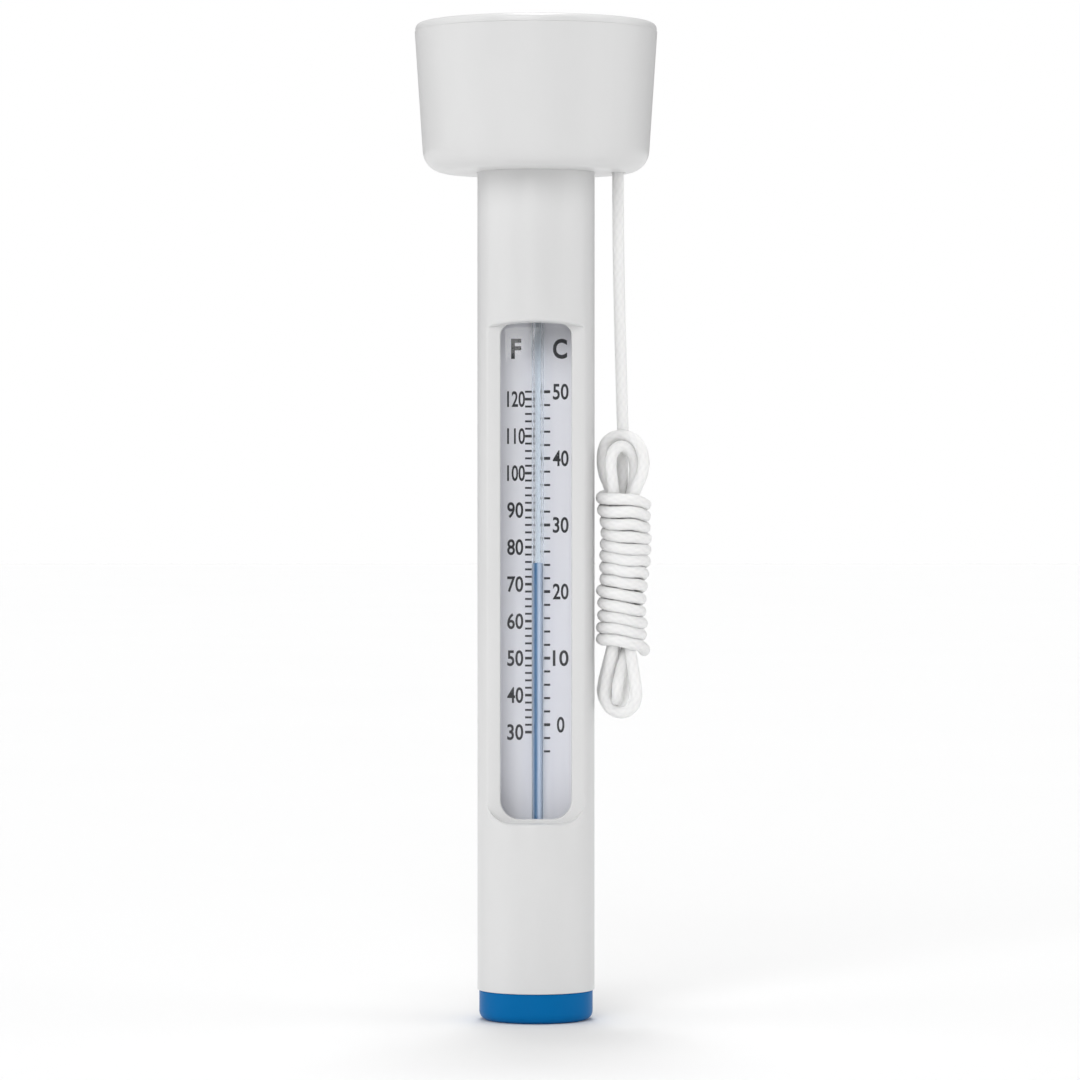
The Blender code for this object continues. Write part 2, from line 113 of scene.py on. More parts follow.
def add(name, mesh, finish, sharp_deg=SHARP_DEG):
    """The mesh as a smooth-shaded object with that material."""
    made = bpy.data.objects.new(name, mesh)
    bpy.context.scene.collection.objects.link(made)
    mesh.shade_smooth()
    mesh.set_sharp_from_angle(angle=math.radians(sharp_deg))
    if finish is not None:
        mesh.materials.clear()
        mesh.materials.append(finish)
    return made


def mesh_from(name, points, faces):
    """A welded mesh with its faces outward."""
    mesh = bpy.data.meshes.new(name)
    mesh.from_pydata(points, [], faces)
    shape = bmesh.new()
    shape.from_mesh(mesh)
    bmesh.ops.remove_doubles(shape, verts=shape.verts, dist=WELD)
    bmesh.ops.dissolve_degenerate(shape, edges=shape.edges, dist=0.5 * WELD)
    bmesh.ops.recalc_face_normals(shape, faces=shape.faces)
    shape.to_mesh(mesh)
    shape.free()
    return mesh


def rounded(corners, closed=False, steps=6):
    """The line through (x, z, radius) corners in mm, each rounded to its radius, as (x, z) in metres.

    A point close to each rounding on its straight sides keeps the shading of the flats even.
    """
    line = []
    count = len(corners)
    for i, (x, z, radius) in enumerate(corners):
        here = Vector((x, z)) * MM
        radius *= MM
        if radius == 0.0 or (not closed and i in (0, count - 1)):
            line.append(here)
            continue
        before = (Vector(corners[i - 1][:2]) * MM - here).normalized()
        after = (Vector(corners[(i + 1) % count][:2]) * MM - here).normalized()
        half = before.angle(after) / 2.0
        reach = radius / math.tan(half)
        middle = here + (before + after).normalized() * radius / math.sin(half)
        start, end = here + before * reach - middle, here + after * reach - middle
        turn = start.angle_signed(end)
        line.append(here + before * (reach + 0.3 * radius))
        for k in range(steps + 1):
            a = -turn * k / steps
            spun = Vector((start.x * math.cos(a) - start.y * math.sin(a),
                           start.x * math.sin(a) + start.y * math.cos(a)))
            line.append(middle + spun)
        line.append(here + after * (reach + 0.3 * radius))
    return [tuple(p) for p in line]


def turned(name, line, finish, segments=ROUND, closed=False, at=(0.0, 0.0)):
    """Revolves a line of (radius, height) points about the vertical axis."""
    points, rings = [], []
    for radius, height in line:
        if radius < 0.000001:
            rings.append([len(points)])
            points.append((at[0], at[1], height))
            continue
        rings.append(list(range(len(points), len(points) + segments)))
        for k in range(segments):
            a = 2.0 * math.pi * k / segments
            points.append((at[0] + radius * math.sin(a), at[1] - radius * math.cos(a), height))
    faces = []
    pairs = list(zip(rings, rings[1:])) + ([(rings[-1], rings[0])] if closed else [])
    for low, high in pairs:
        for k in range(segments):
            n = (k + 1) % segments
            if len(low) == 1 and len(high) == 1:
                continue
            if len(low) == 1:
                faces.append((low[0], high[n], high[k]))
            elif len(high) == 1:
                faces.append((low[k], low[n], high[0]))
            else:
                faces.append((low[k], low[n], high[n], high[k]))
    return add(name, mesh_from(name, points, faces), finish)


def lofted(name, sections, finish=None):
    """Skins closed sections of equally many points, with the ends closed by flat faces."""
    count = len(sections[0])
    points = [p for section in sections for p in section]
    faces = []
    for s in range(len(sections) - 1):
        for k in range(count):
            n = (k + 1) % count
            faces.append((s * count + k, s * count + n, (s + 1) * count + n, (s + 1) * count + k))
    faces.append(tuple(range(count)))
    faces.append(tuple(range(len(points) - count, len(points))))
    return add(name, mesh_from(name, points, faces), finish)


def drop_slivers(shape):
    """Merges the near-coincident points that a Boolean or a font outline leaves."""
    bmesh.ops.remove_doubles(shape, verts=shape.verts, dist=SLIVER)
    bmesh.ops.dissolve_degenerate(shape, edges=shape.edges, dist=0.5 * SLIVER)


def cut(target, tool):
    """Takes the tool's shape out of the target's mesh, and removes the tool."""
    change = target.modifiers.new("cut", "BOOLEAN")
    change.operation = "DIFFERENCE"
    change.solver = "EXACT"
    change.object = tool
    bpy.context.view_layer.update()
    depsgraph = bpy.context.evaluated_depsgraph_get()
    old = target.data
    target.data = bpy.data.meshes.new_from_object(target.evaluated_get(depsgraph))
    target.data.name = old.name
    target.modifiers.clear()
    bpy.data.meshes.remove(old)
    bpy.data.objects.remove(tool)
    shape = bmesh.new()
    shape.from_mesh(target.data)
    drop_slivers(shape)
    shape.to_mesh(target.data)
    shape.free()
    target.data.shade_smooth()
    target.data.set_sharp_from_angle(angle=math.radians(SHARP_DEG))


# ---------------------------------------------------------------- the tether's line

# The lead's route, as in the CAD source, in mm. It starts inside the float's floor.
LEAD = [
    (14.00, 0.00, 146.4),
    (14.00, 0.00, 143.6),
    (14.02, 0.04, 139.0),
    (14.10, 0.20, 131.0),
    (14.32, 0.70, 120.0),
    (14.62, 1.35, 109.0),
    (14.85, 1.80, 101.2),
]
HANK_TOP = Vector((15.30, 0.0, 100.7))
HANK_FOOT = Vector((14.90, 0.0, 51.5))
HANK_SHIFT = -0.4  # the cord hangs this much nearer to the tube than the middle of its CAD solid

# Places in the hank, in mm: to the right of its axis, behind it, and the height.
FIRST_RUN = [(0.10, 1.75, 98.6), (-0.05, 1.45, 95.2), (-0.15, 0.75, 91.6), (-0.85, 0.15, 88.2)]
UPPER_FOLD_INNER = [
    (1.45, 0.00, 88.4),
    (1.75, 0.05, 90.8),
    (2.00, -0.10, 93.2),
    (1.95, -0.35, 95.2),
    (1.15, -1.00, 97.1),
    (-0.35, -1.95, 97.9),
    (-1.65, -2.75, 97.0),
    (-2.15, -3.25, 95.0),
    (-1.95, -3.20, 92.8),
    (-1.60, -2.65, 90.4),
    (-1.45, -2.10, 88.3),
]
UPPER_FOLD_OUTER = [
    (1.40, -2.05, 88.4),
    (2.25, -2.25, 90.7),
    (3.20, -2.20, 93.0),
    (3.48, -1.95, 95.4),
    (2.95, -1.55, 97.6),
    (1.80, -0.95, 99.1),
    (0.20, -0.15, 99.7),
    (-1.50, 0.60, 99.6),
    (-2.90, 1.20, 98.5),
    (-3.48, 1.55, 96.2),
    (-3.20, 1.75, 93.4),
    (-2.20, 1.90, 90.8),
    (-1.45, 2.00, 88.4),
]
# The lower folds: left end and right end to the side and behind, then the height of both and of the bend.
FOLD_MIDDLE = ((-1.2, 2.6), (-0.6, -3.1), 57.0, 54.1)
FOLD_FRONT = ((-2.75, -1.2), (2.55, -4.0), 55.5, 52.5)
FOLD_BACK = ((-3.1, 5.5), (0.6, 2.3), 56.2, 53.2)
FOLD_STEPS = 8
RUN_HEIGHTS = [86.0, 82.0, 77.0, 72.0, 68.0, 65.4]  # of a straight run's points inside the wraps
RUN_SPREAD = [1.25, 1.08, 1.02, 1.02, 1.06, 1.18]  # how far out each one lies
# The wraps' shape: height, shift to the side and half width, in mm.
WRAP_SHAPE = [
    (90.5, 0.10, 3.70),
    (87.8, 0.17, 3.70),
    (83.9, 0.63, 3.27),
    (79.5, 0.66, 3.44),
    (76.9, 0.38, 3.30),
    (73.0, 0.02, 3.25),
    (65.8, 0.01, 3.35),
    (62.0, 0.05, 3.35),
]
WRAP_DEPTH = 4.4  # half the depth of a wrap, in mm
WRAP_TOP, WRAP_FOOT = 89.7, 63.8
WRAP_START_DEG = 110.0
WRAP_END_DEG = 13.0 * 360.0
POINTS_PER_WRAP = 20
TAIL = [(3.85, 1.25, 63.3), (3.95, 2.3, 62.6)]


def in_hank(side, behind, height):
    """A place in the hank, whose axis leans a little, in mm."""
    share = (height - HANK_FOOT.z) / (HANK_TOP.z - HANK_FOOT.z)
    axis = HANK_FOOT.lerp(HANK_TOP, share)
    return (axis.x + HANK_SHIFT + side, axis.y + behind, height)


def lower_fold(left, right, level, bend):
    """Half a turn from the left end down and round to the right end."""
    made = []
    for k in range(FOLD_STEPS + 1):
        a = math.pi * k / FOLD_STEPS
        share = 0.5 - 0.5 * math.cos(a)
        side = left[0] + (right[0] - left[0]) * share
        behind = left[1] + (right[1] - left[1]) * share
        made.append((side, behind, level + (bend - level) * math.sin(a)))
    return made


def straight_run(side, behind, down):
    """The stretch inside the wraps, with its ends a little further out than its middle."""
    made = [(side * out, behind, height) for out, height in zip(RUN_SPREAD, RUN_HEIGHTS)]
    return made if down else made[::-1]


def wrap_shape(height):
    """The wraps' shift to the side and half width at a height."""
    for (top, *above), (low, *below) in zip(WRAP_SHAPE, WRAP_SHAPE[1:]):
        if height >= low:
            share = (top - height) / (top - low)
            return [a + (b - a) * share for a, b in zip(above, below)]
    return WRAP_SHAPE[-1][1:]


def wraps():
    """The wound part, from the back at the top to the right at the foot, never quite even."""
    count = round((WRAP_END_DEG - WRAP_START_DEG) / 360.0 * POINTS_PER_WRAP)
    made = []
    for k in range(count + 1):
        share = k / count
        degrees = WRAP_START_DEG + (WRAP_END_DEG - WRAP_START_DEG) * share
        a = math.radians(degrees)
        height = WRAP_TOP + (WRAP_FOOT - WRAP_TOP) * share
        shift, half = wrap_shape(height)
        height += 0.65 * noise.noise(Vector((0.8 * math.cos(a), 0.8 * math.sin(a), 0.13 * height)))
        swell = 0.30 * noise.noise(Vector((0.50 * a, 17.3, 2.2)))
        made.append((shift + (half + swell) * math.cos(a), (WRAP_DEPTH + swell) * math.sin(a), height))
    return made


def hank_places():
    """All of the hank in the cord's order: three folds below, two above, then the wraps."""
    places = list(FIRST_RUN)
    places += straight_run(-1.0, 0.0, True) + lower_fold(*FOLD_MIDDLE)
    places += straight_run(1.0, 0.0, False) + UPPER_FOLD_INNER
    places += straight_run(-1.0, -2.0, True) + lower_fold(*FOLD_FRONT)
    places += straight_run(1.0, -2.0, False) + UPPER_FOLD_OUTER
    places += straight_run(-1.0, 2.0, True) + lower_fold(*FOLD_BACK)
    places += straight_run(1.0, 2.0, False) + [(1.15, 2.45, 88.2), (0.55, 3.45, 89.6)]
    places += wraps() + TAIL
    return places


def smooth(points):
    """A centripetal spline through the points, sampled finely."""
    padded = [2.0 * points[0] - points[1], *points, 2.0 * points[-1] - points[-2]]
    made = []
    for a, b, c, d in zip(padded, padded[1:], padded[2:], padded[3:]):
        ta = 0.0
        tb = ta + math.sqrt((b - a).length)
        tc = tb + math.sqrt((c - b).length)
        td = tc + math.sqrt((d - c).length)
        steps = max(4, math.ceil((c - b).length / (0.1 * MM)))
        for i in range(steps):
            t = tb + (tc - tb) * i / steps
            ab = a * ((tb - t) / (tb - ta)) + b * ((t - ta) / (tb - ta))
            bc = b * ((tc - t) / (tc - tb)) + c * ((t - tb) / (tc - tb))
            cd = c * ((td - t) / (td - tc)) + d * ((t - tc) / (td - tc))
            abc = ab * ((tc - t) / (tc - ta)) + bc * ((t - ta) / (tc - ta))
            bcd = bc * ((td - t) / (td - tb)) + cd * ((t - tb) / (td - tb))
            made.append(abc * ((tc - t) / (tc - tb)) + bcd * ((t - tb) / (tc - tb)))
    return [*made, points[-1]]


def even(line, step):
    """The line again with its points the same distance apart."""
    along = [0.0]
    for a, b in zip(line, line[1:]):
        along.append(along[-1] + (b - a).length)
    count = round(along[-1] / step)
    made, i = [], 0
    for k in range(count + 1):
        want = along[-1] * k / count
        while i < len(along) - 2 and along[i + 1] < want:
            i += 1
        share = (want - along[i]) / (along[i + 1] - along[i])
        made.append(line[i].lerp(line[i + 1], share))
    return made, along[-1]


STRANDS = 6  # strands of the braid in each direction
BRAID_PITCH = 2.0 * MM
BRAID_DEPTH = 0.07 * MM
CORD_STEP = 0.26 * MM
CORD_SIDES = 24
CUT_END = 0.5 * MM  # the length over which a cut end is rounded


def braid_height(around, along):
    """How proud the braid stands, from 0 in a groove to 1 on a strand. Around runs from 0 to 1."""
    a = STRANDS * around + along / BRAID_PITCH
    b = STRANDS * around - along / BRAID_PITCH
    over = math.sin(math.pi * a) * math.sin(math.pi * b)
    one = math.sqrt(abs(math.sin(math.pi * a))) * (0.6 + 0.4 * over)
    other = math.sqrt(abs(math.sin(math.pi * b))) * (0.6 - 0.4 * over)
    return max(one, other)


def braided(name, line, length, radius, finish):
    """A braided tube with rounded ends round the line. It keeps the braid's height for its material, which
    paints shade into the grooves.
    """
    points, heights, uvs = [], [], []
    count = len(line)
    tangent = (line[1] - line[0]).normalized()
    side = tangent.orthogonal().normalized()
    for i, centre in enumerate(line):
        ahead = (line[min(i + 1, count - 1)] - line[max(i - 1, 0)]).normalized()
        side = (tangent.rotation_difference(ahead) @ side).normalized()
        tangent = ahead
        across = tangent.cross(side).normalized()
        along = length * i / (count - 1)
        to_end = min(along, length - along) / CUT_END
        taper = math.sqrt(max(0.0, 1.0 - (1.0 - min(1.0, to_end)) ** 2))
        for k in range(CORD_SIDES):
            around = k / CORD_SIDES
            a = 2.0 * math.pi * around
            high = braid_height(around, along)
            r = max(0.02 * MM, (radius + (high - 0.75) * BRAID_DEPTH) * taper)
            points.append(centre + (side * math.cos(a) + across * math.sin(a)) * r)
            heights.append(high)
            uvs.append((around, along))
    faces = []
    for i in range(count - 1):
        for k in range(CORD_SIDES):
            n = (k + 1) % CORD_SIDES
            low, high = i * CORD_SIDES, (i + 1) * CORD_SIDES
            faces.append((low + k, low + n, high + n, high + k))
    faces.append(tuple(range(CORD_SIDES))[::-1])
    faces.append(tuple(range((count - 1) * CORD_SIDES, count * CORD_SIDES)))
    mesh = bpy.data.meshes.new(name)
    mesh.from_pydata(points, [], faces)
    proud = mesh.attributes.new("braid", "FLOAT", "POINT")
    proud.data.foreach_set("value", heights)
    layer = mesh.uv_layers.new(name="cord")
    for face in mesh.polygons:
        last_side = face.vertices[0] % CORD_SIDES == CORD_SIDES - 1
        for loop in face.loop_indices:
            around, along = uvs[mesh.loops[loop].vertex_index]
            if last_side and around == 0.0:
                around = 1.0
            layer.data[loop].uv = (around * 2.0 * math.pi * radius / MM, along / MM)
    return add(name, mesh, finish, sharp_deg=80.0)


# ---------------------------------------------------------------- materials


def new_material(name):
    """An empty material and its node tree."""
    made = bpy.data.materials.new(name)
    made.use_nodes = True
    made.node_tree.nodes.clear()
    return made, made.node_tree


def node(tree, kind, inputs=None, **settings):
    """A shader node. An input is a value or another node's output."""
    made = tree.nodes.new("ShaderNode" + kind)
    for key, value in settings.items():
        setattr(made, key, value)
    for key, value in (inputs or {}).items():
        if isinstance(value, bpy.types.NodeSocket):
            tree.links.new(value, made.inputs[key])
        else:
            made.inputs[key].default_value = value
    return made


def colours(tree, share, first, second):
    """A mix of two colours by a share from 0 to 1."""
    return node(tree, "Mix", {0: share, 6: first, 7: second}, data_type="RGBA").outputs[2]


def places(tree, stretch=(1.0, 1.0, 1.0)):
    """The object's own coordinates, in metres, times stretch."""
    spot = node(tree, "TexCoord").outputs["Object"]
    return node(tree, "Mapping", {"Vector": spot, "Scale": stretch}).outputs[0]


def cloud(tree, where, scale, detail=2.0, roughness=0.5):
    """Soft noise from 0 to 1, with scale features to the metre."""
    inputs = {"Vector": where, "Scale": scale, "Detail": detail, "Roughness": roughness}
    return node(tree, "TexNoise", inputs).outputs[0]


def ranged(tree, value, low, high, to_low, to_high):
    """The value's range from low to high, mapped to another and held at its ends."""
    inputs = {"Value": value, "From Min": low, "From Max": high, "To Min": to_low, "To Max": to_high}
    return node(tree, "MapRange", inputs).outputs[0]


def bumped(tree, height, depth):
    """A bump of that depth in metres."""
    return node(tree, "Bump", {"Height": height, "Distance": depth, "Strength": 1.0}).outputs[0]


def surface(tree, shader):
    node(tree, "OutputMaterial", {"Surface": shader})


def shade(colour, times):
    """A colour a little darker or lighter."""
    return (colour[0] * times, colour[1] * times, colour[2] * times, 1.0)


def moulded(name, colour, roughness, shine=0.5):
    """Moulded plastic: faint flow clouds, an orange-peel skin, and fine handling scratches."""
    made, tree = new_material(name)
    flow = cloud(tree, places(tree, (1.0, 1.0, 0.35)), 90.0, 3.0)
    skin = cloud(tree, places(tree), 1400.0, 2.0)
    scratches = cloud(tree, places(tree, (1.0, 1.0, 0.04)), 5200.0, 2.0)
    tint = colours(tree, ranged(tree, flow, 0.3, 0.7, 0.0, 1.0), shade(colour, 0.975), shade(colour, 1.015))
    worn = ranged(tree, scratches, 0.62, 0.78, 0.0, 0.10)
    gloss = ranged(tree, flow, 0.3, 0.7, roughness - 0.03, roughness + 0.05)
    rough = node(tree, "Math", {0: gloss, 1: worn}, operation="ADD").outputs[0]
    inputs = {"Base Color": tint, "Roughness": rough, "Normal": bumped(tree, skin, 0.000006)}
    inputs |= {"IOR": 1.5, "Specular IOR Level": shine}
    surface(tree, node(tree, "BsdfPrincipled", inputs).outputs[0])
    return made


def let_light_through(tree, shader, tint):
    """The shader as seen, and a tinted clear one for shadows, so that light reaches what is behind it."""
    clear = node(tree, "BsdfTransparent", {"Color": tint}).outputs[0]
    shadow = node(tree, "LightPath").outputs["Is Shadow Ray"]
    return node(tree, "MixShader", {0: shadow, 1: shader, 2: clear}).outputs[0]


def acrylic(name):
    """A thin clear pane: what is behind it, and a gloss that grows towards grazing views."""
    made, tree = new_material(name)
    ripple = bumped(tree, cloud(tree, places(tree, (1.0, 1.0, 0.25)), 220.0), 0.000020)
    haze = ranged(tree, cloud(tree, places(tree), 900.0), 0.35, 0.65, 0.03, 0.07)
    shine = node(tree, "BsdfGlossy", {"Roughness": haze, "Normal": ripple}).outputs[0]
    tint = colours(tree, cloud(tree, places(tree), 120.0), (0.98, 0.983, 0.99, 1.0),
                   (0.985, 0.988, 0.995, 1.0))
    clear = node(tree, "BsdfTransparent", {"Color": tint}).outputs[0]
    fresnel = node(tree, "Fresnel", {"IOR": 1.49, "Normal": ripple}).outputs[0]
    outside = ranged(tree, node(tree, "NewGeometry").outputs["Backfacing"], 0.0, 1.0, 1.0, 0.0)
    gloss = node(tree, "Math", {0: fresnel, 1: outside}, operation="MULTIPLY").outputs[0]
    pane = node(tree, "MixShader", {0: gloss, 1: clear, 2: shine}).outputs[0]
    surface(tree, let_light_through(tree, pane, (0.985, 0.988, 0.995, 1.0)))
    return made


def drawn_glass(name):
    """Glass with the long faint waves that drawing leaves."""
    made, tree = new_material(name)
    waves = bumped(tree, cloud(tree, places(tree, (1.0, 1.0, 0.05)), 900.0), 0.000010)
    haze = ranged(tree, cloud(tree, places(tree), 700.0), 0.4, 0.7, 0.0, 0.03)
    inputs = {"Color": (0.97, 0.985, 0.99, 1.0), "Roughness": haze, "IOR": 1.47, "Normal": waves}
    glass = node(tree, "BsdfGlass", inputs).outputs[0]
    surface(tree, let_light_through(tree, glass, (0.93, 0.95, 0.97, 1.0)))
    return made


def dyed_spirit(name):
    """Blue spirit: deep along the thread, with a painted pale highlight down its edges that stands in for
    the light it gathers.
    """
    made, tree = new_material(name)
    across = node(tree, "SeparateXYZ", {0: places(tree)}).outputs["X"]
    # Painted highlight: the thread's right side and far left edge are coloured pale, as if lit by light
    # gathered through the spirit.
    right = ranged(tree, across, STEM_X - 0.20 * MM, STEM_X + 0.17 * MM, 0.0, 1.0)
    left = ranged(tree, across, STEM_X - 0.58 * MM, STEM_X - 0.42 * MM, 0.75, 0.0)
    painted_glow_share = node(tree, "Math", {0: left, 1: right}, operation="ADD").outputs[0]
    depth = cloud(tree, places(tree, (1.0, 1.0, 0.1)), 800.0)
    deep = colours(tree, depth, (0.040, 0.155, 0.32, 1.0), (0.065, 0.200, 0.40, 1.0))
    painted_glow = colours(tree, depth, (0.64, 0.74, 0.90, 1.0), (0.70, 0.80, 0.96, 1.0))
    inputs = {"Base Color": colours(tree, painted_glow_share, deep, painted_glow), "Roughness": 0.12, "IOR": 1.36}
    body = node(tree, "BsdfPrincipled", inputs).outputs[0]
    surface(tree, let_light_through(tree, body, (0.62, 0.80, 0.97, 1.0)))
    return made


def card_stock(name):
    """Printed card behind the stem: cool white with faint upright streaks and a paper tooth."""
    made, tree = new_material(name)
    streaks = cloud(tree, places(tree, (1.0, 1.0, 0.02)), 520.0, 2.0)
    fibres = cloud(tree, places(tree), 2600.0, 3.0)
    tint = colours(tree, ranged(tree, streaks, 0.35, 0.65, 0.0, 1.0), (0.90, 0.895, 0.935, 1.0),
                   (0.96, 0.955, 0.98, 1.0))
    tint = colours(tree, ranged(tree, fibres, 0.3, 0.7, 0.0, 0.05), tint, (0.6, 0.6, 0.66, 1.0))
    inputs = {"Base Color": tint, "Roughness": ranged(tree, fibres, 0.3, 0.7, 0.50, 0.62)}
    inputs["Normal"] = bumped(tree, fibres, 0.000008)
    surface(tree, node(tree, "BsdfPrincipled", inputs).outputs[0])
    return made


def ink(name):
    """Black print that lies a little thinner in places."""
    made, tree = new_material(name)
    cover = cloud(tree, places(tree), 3000.0, 2.0)
    tint = colours(tree, ranged(tree, cover, 0.35, 0.7, 0.0, 1.0), (0.010, 0.010, 0.013, 1.0),
                   (0.030, 0.030, 0.036, 1.0))
    inputs = {"Base Color": tint, "Roughness": ranged(tree, cover, 0.3, 0.7, 0.35, 0.5)}
    surface(tree, node(tree, "BsdfPrincipled", inputs).outputs[0])
    return made


def braid(name):
    """White polyester braid: painted shade in its grooves, and fibres along each strand."""
    made, tree = new_material(name)
    proud = node(tree, "Attribute", attribute_name="braid").outputs["Fac"]
    map_uv = node(tree, "UVMap", uv_map="cord").outputs[0]
    fine = node(tree, "Mapping", {"Vector": map_uv, "Scale": (9.0, 2.2, 1.0)}).outputs[0]
    fibres = cloud(tree, fine, 1.0, 3.0, 0.6)
    patches = cloud(tree, places(tree), 160.0, 2.0)
    # Painted shade: the colour darkens where the braid's height falls into a groove.
    tint = colours(tree, ranged(tree, proud, 0.25, 0.85, 0.0, 1.0), (0.79, 0.79, 0.79, 1.0),
                   (0.85, 0.85, 0.845, 1.0))
    tint = colours(tree, ranged(tree, fibres, 0.3, 0.7, 0.0, 0.10), tint, (0.71, 0.71, 0.715, 1.0))
    tint = colours(tree, ranged(tree, patches, 0.35, 0.7, 0.0, 0.08), tint, (0.76, 0.75, 0.72, 1.0))
    inputs = {"Base Color": tint, "Roughness": ranged(tree, fibres, 0.3, 0.7, 0.62, 0.85)}
    inputs |= {"Sheen Weight": 0.2, "Sheen Roughness": 0.4, "Subsurface Weight": 0.55}
    inputs |= {"Subsurface Scale": 0.0012, "Subsurface Radius": (1.0, 1.0, 0.95)}
    inputs["Normal"] = bumped(tree, fibres, 0.000030)
    surface(tree, node(tree, "BsdfPrincipled", inputs).outputs[0])
    return made


def foam(name):
    """Closed-cell foam: small round cells and a soft matt skin."""
    made, tree = new_material(name)
    cells = node(tree, "TexVoronoi", {"Vector": places(tree), "Scale": 1500.0}).outputs["Distance"]
    tint = colours(tree, ranged(tree, cells, 0.1, 0.7, 0.0, 1.0), (0.90, 0.90, 0.88, 1.0),
                   (0.74, 0.74, 0.72, 1.0))
    inputs = {"Base Color": tint, "Roughness": 0.9, "Normal": bumped(tree, cells, 0.00008)}
    surface(tree, node(tree, "BsdfPrincipled", inputs).outputs[0])
    return made


def rubber(name):
    """Grey rubber with a dusty bloom."""
    made, tree = new_material(name)
    bloom = cloud(tree, places(tree), 260.0, 4.0, 0.6)
    tooth = cloud(tree, places(tree), 3200.0, 2.0)
    tint = colours(tree, ranged(tree, bloom, 0.35, 0.7, 0.0, 1.0), (0.25, 0.255, 0.26, 1.0),
                   (0.36, 0.365, 0.37, 1.0))
    inputs = {"Base Color": tint, "Roughness": ranged(tree, bloom, 0.3, 0.7, 0.62, 0.85)}
    inputs["Normal"] = bumped(tree, tooth, 0.00002)
    surface(tree, node(tree, "BsdfPrincipled", inputs).outputs[0])
    return made


def turned_steel(name):
    """Steel with fine level turning marks and a few dull spots."""
    made, tree = new_material(name)
    marks = cloud(tree, places(tree, (0.02, 0.02, 1.0)), 7000.0, 2.0)
    dull = cloud(tree, places(tree), 350.0, 4.0)
    tint = colours(tree, marks, (0.50, 0.505, 0.51, 1.0), (0.62, 0.62, 0.62, 1.0))
    inputs = {"Base Color": tint, "Metallic": 1.0, "Roughness": ranged(tree, dull, 0.4, 0.75, 0.28, 0.5)}
    inputs["Normal"] = bumped(tree, marks, 0.00001)
    surface(tree, node(tree, "BsdfPrincipled", inputs).outputs[0])
    return made


def sweep_paper(name):
    """The pale studio floor."""
    made, tree = new_material(name)
    tooth = cloud(tree, places(tree), 6.0, 2.0)
    tint = colours(tree, tooth, (0.825, 0.825, 0.825, 1.0), (0.835, 0.835, 0.835, 1.0))
    inputs = {"Base Color": tint, "Roughness": 0.9, "Specular IOR Level": 0.0}
    surface(tree, node(tree, "BsdfPrincipled", inputs).outputs[0])
    return made


white_plastic = moulded("white_plastic", (0.675, 0.675, 0.675), 0.32)
blue_plastic = moulded("blue_plastic", (0.001, 0.133, 0.370), 0.34, shine=0.05)
clear_acrylic = acrylic("clear_acrylic")
stem_glass = drawn_glass("stem_glass")
blue_spirit = dyed_spirit("blue_spirit")
printed_card = card_stock("printed_card")
black_ink = ink("black_ink")
grey_rubber = rubber("grey_rubber")
ballast_steel = turned_steel("ballast_steel")
clip_nylon = moulded("clip_nylon", (0.84, 0.83, 0.78), 0.42)
white_foam = foam("white_foam")
white_cord = braid("white_cord")


# ---------------------------------------------------------------- the tube


def skin(angle, outer, flat, edge):
    """Distance from the axis to a round wall with a flat in front, at an angle from the front.

    The two upright edges of the flat are rounded to the radius edge.
    """
    angle = abs(angle)
    side = math.sqrt((outer - edge) ** 2 - (flat - edge) ** 2)
    if angle <= math.atan2(side, flat):
        return flat / math.cos(angle)
    if angle >= math.atan2(side, flat - edge):
        return outer
    along = side * math.sin(angle) + (flat - edge) * math.cos(angle)
    aside = side**2 + (flat - edge) ** 2 - along**2
    return along + math.sqrt(edge**2 - aside)


FLAT_REACH = math.sqrt(TUBE_RADIUS**2 - FLAT_FRONT**2)  # where the flat runs out into the round
SIDE_EDGE = 0.8 * MM
FOOT_EDGE = 0.5 * MM
HEAD_EDGE = 0.7 * MM
INNER_EDGE = 0.12 * MM
END_EDGE = 0.18 * MM
INSIDE_EDGE = 0.3 * MM  # the same edges as SIDE_EDGE, on the inside of the wall
WINDOW_RIM = 0.28 * MM  # the rounding of the window's front edge
CORNER_STEPS = 8
JOINT_GAP = 0.03 * MM  # the hairline between neighbouring outer pieces
LID_GAP = 0.01 * MM  # the lid is pressed tight, and its seam hardly shows
LID_EDGE_HEIGHT = 1.4  # in mm


def flat_foot(side):
    """Height of the flat's lower edge at a distance to the side, with its round corners."""
    over = min(abs(side), FLAT_REACH) - (FLAT_HALF - FLAT_CORNER)
    if over <= 0.0:
        return FLAT_BOTTOM
    return FLAT_BOTTOM + FLAT_CORNER - math.sqrt(FLAT_CORNER**2 - over**2)


def flat_head(side):
    """Height of the flat's upper edge, a shallow arc."""
    return FLAT_SHOULDER + FLAT_RISE - ARCH + math.sqrt(ARCH**2 - min(abs(side), FLAT_REACH) ** 2)


def spread(count, low, high):
    """Evenly spaced values after low, up to high."""
    return [low + (high - low) * (k + 1) / count for k in range(count)]


